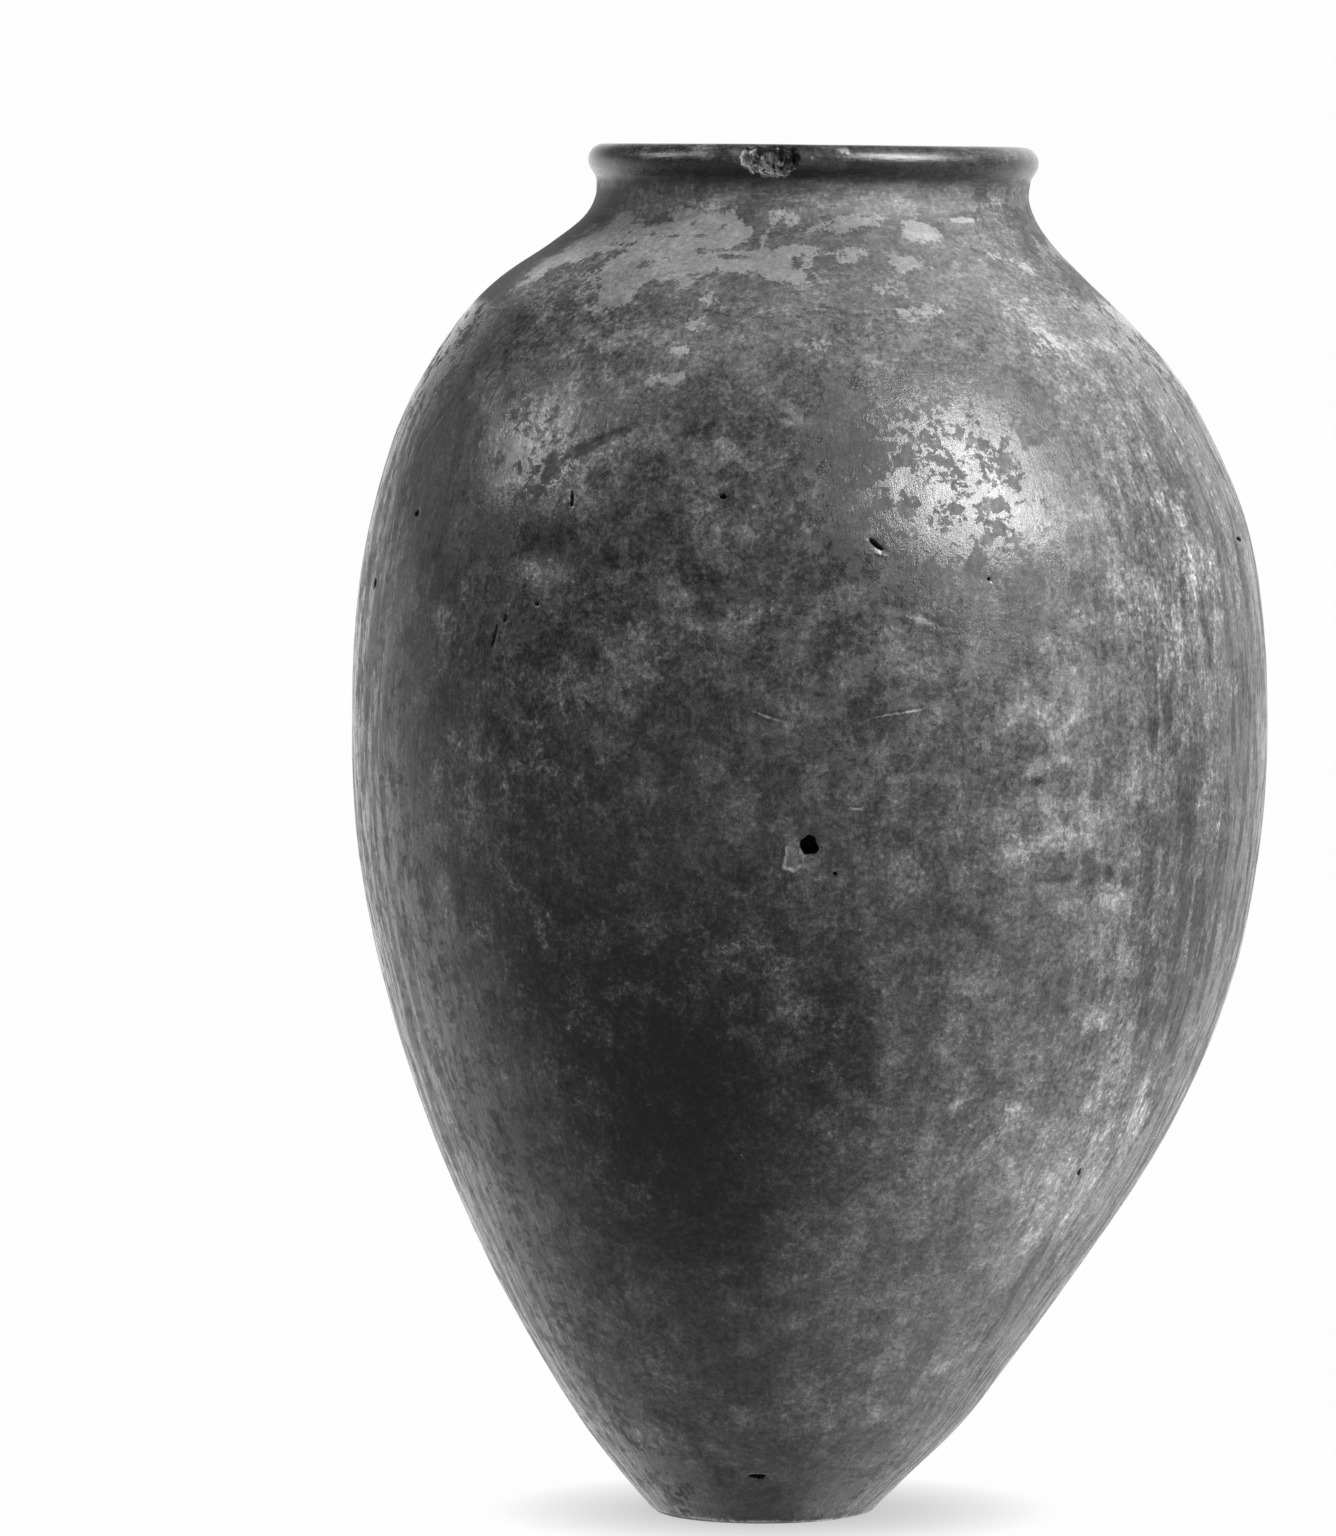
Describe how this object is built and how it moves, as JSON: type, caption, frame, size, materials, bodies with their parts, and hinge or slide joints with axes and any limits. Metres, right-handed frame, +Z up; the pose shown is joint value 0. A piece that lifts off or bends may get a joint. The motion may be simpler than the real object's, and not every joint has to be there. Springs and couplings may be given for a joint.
{
  "type": "ovoid jar",
  "caption": "Hand-built ovoid jar with high shoulders, a short neck with a rolled lip and a small flat foot, under a burnished slip coat.",
  "frame": {"origin": "on the surface that the jar stands on, at the middle of its bounding box", "axes": "+Z up through the mouth, +X to the right and -Y to the front, as pictured"},
  "size_m": [0.2036, 0.2036, 0.3045],
  "materials": {
    "fired_clay": "matte low-fired clay, finger-wiped",
    "burnished_slip": "pebble-burnished slip with a soft uneven gloss, strokes upright on the body"
  },
  "bodies": {
    "root": {"foot_disc": "fired_clay", "wall_coil_1": "fired_clay", "wall_coil_2": "fired_clay", "wall_coil_3": "fired_clay", "wall_coil_4": "fired_clay", "wall_coil_5": "fired_clay", "wall_coil_6": "fired_clay", "wall_coil_7": "fired_clay", "wall_coil_8": "fired_clay", "neck_collar": "fired_clay", "rim_roll": "fired_clay", "slip_coat": "burnished_slip"}
  },
  "joints": []
}
